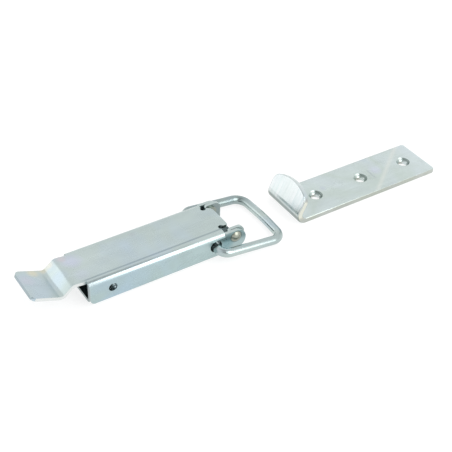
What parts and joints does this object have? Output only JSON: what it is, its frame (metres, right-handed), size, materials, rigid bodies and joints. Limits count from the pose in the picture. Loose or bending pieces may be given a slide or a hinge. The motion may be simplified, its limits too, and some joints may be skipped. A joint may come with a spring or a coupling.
{
  "type": "over centre toggle latch",
  "caption": "Over centre toggle latch: folded steel lever riveted to a screw-down base, a loose wire bail, and a separate hooked keeper plate that the bail pulls on.",
  "frame": {"origin": "the base's middle screw hole, on the mounting face", "axes": "+X along the latch from the finger tab towards the keeper, +Z out of the mounting face, +Y across the latch"},
  "size_m": [0.2266, 0.0408, 0.0177],
  "materials": {
    "zinc_sheet": "bright zinc plated, satin",
    "zinc_wire": "bright zinc plated wire, smooth",
    "zinc_plate": "bright zinc plated, satin",
    "rivet_steel": "zinc plated, slightly warm"
  },
  "bodies": {
    "base": {"base": "zinc_sheet", "rivet_near": "rivet_steel", "rivet_far": "rivet_steel", "keeper": "zinc_plate"},
    "lever": {"lever": "zinc_sheet"},
    "bail": {"bail": "zinc_wire"}
  },
  "joints": [
    {"name": "lever_hinge", "type": "hinge", "parent": "base", "child": "lever", "pos_m": [0.0359, 0, 0.0087], "axis": [0, 1, 0], "range_deg": [0, 130]},
    {"name": "bail_hinge", "type": "hinge", "parent": "lever", "child": "bail", "pos_m": [0.02511, 0, 0.00638], "axis": [0, -1, 0], "range_deg": [0, 165]}
  ]
}
